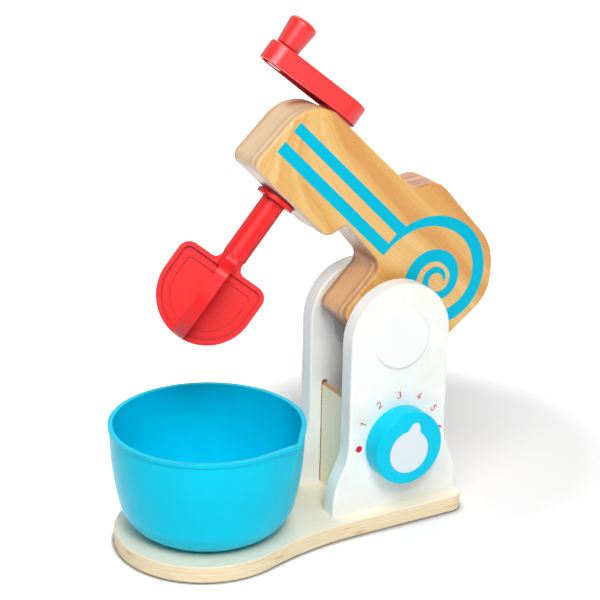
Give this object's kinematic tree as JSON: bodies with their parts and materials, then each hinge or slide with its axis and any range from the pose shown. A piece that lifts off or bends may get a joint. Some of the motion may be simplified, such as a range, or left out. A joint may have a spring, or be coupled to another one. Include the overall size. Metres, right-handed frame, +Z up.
{
  "type": "toy stand mixer",
  "caption": "Wooden toy stand mixer: a head tilts between cheeks on a keyhole board, and a crank on top turns a crossed-paddle beater over a loose bowl.",
  "frame": {"origin": "on the ground under the head's pivot, midway between the cheeks", "axes": "+Z up, -X from the column towards the bowl, -Y towards the cheek with the knob"},
  "size_m": [0.2545, 0.12, 0.3177],
  "materials": {
    "sage_ply": "satin painted plywood with a bare edge",
    "white_wood": "satin white paint",
    "pine": "clear satin lacquer",
    "red_plastic": "glossy moulded",
    "cyan_plastic": "glossy moulded",
    "pointer_plastic": "satin",
    "white_plastic": "satin",
    "grey_plastic": "matte",
    "steel": "zinc plated"
  },
  "bodies": {
    "stand": {"base_board": "sage_ply", "near_cheek": "white_wood", "far_cheek": "white_wood", "front_panel": "sage_ply", "rear_panel": "sage_ply", "base_screws": "steel", "pivot_bolt": "steel", "pivot_nut": "steel", "near_pivot_cap": "white_plastic", "far_pivot_cap": "white_plastic", "near_friction_disc": "grey_plastic", "far_friction_disc": "grey_plastic", "knob_washer": "steel"},
    "head": {"head_block": "pine", "pivot_sleeve": "steel", "stop_pin": "steel", "upper_bush": "red_plastic", "lower_bush": "red_plastic"},
    "crank": {"crank_arm": "red_plastic", "drive_tube": "steel", "spindle_bolt": "steel", "crank_plug": "red_plastic", "grip_screw": "steel", "beater": "red_plastic"},
    "grip": {"crank_grip": "red_plastic", "grip_plug": "red_plastic"},
    "knob": {"control_knob": "cyan_plastic", "pointer_disc": "pointer_plastic", "knob_bolt": "steel", "knob_nut": "steel"},
    "bowl": {"mixing_bowl": "cyan_plastic"}
  },
  "joints": [
    {"name": "head_tilt", "type": "hinge", "parent": "stand", "child": "head", "pos_m": [0, 0, 0.1224], "axis": [0, 1, 0], "range_deg": [-45, 0]},
    {"name": "crank_turn", "type": "hinge", "parent": "head", "child": "crank", "pos_m": [-0.08096, 0, 0.20336], "axis": [0.6521, 0, 0.7581], "continuous": true},
    {"name": "grip_spin", "type": "hinge", "parent": "crank", "child": "grip", "pos_m": [-0.11514, 0.01465, 0.23276], "axis": [0.6521, 0, 0.7581], "continuous": true},
    {"name": "knob_turn", "type": "hinge", "parent": "stand", "child": "knob", "pos_m": [0, -0.03075, 0.054], "axis": [0, 1, 0], "continuous": true},
    {"name": "bowl_lift", "type": "slide", "parent": "stand", "child": "bowl", "axis": [-0.9781, 0, 0.2079], "range_m": [0, 0.14]}
  ]
}
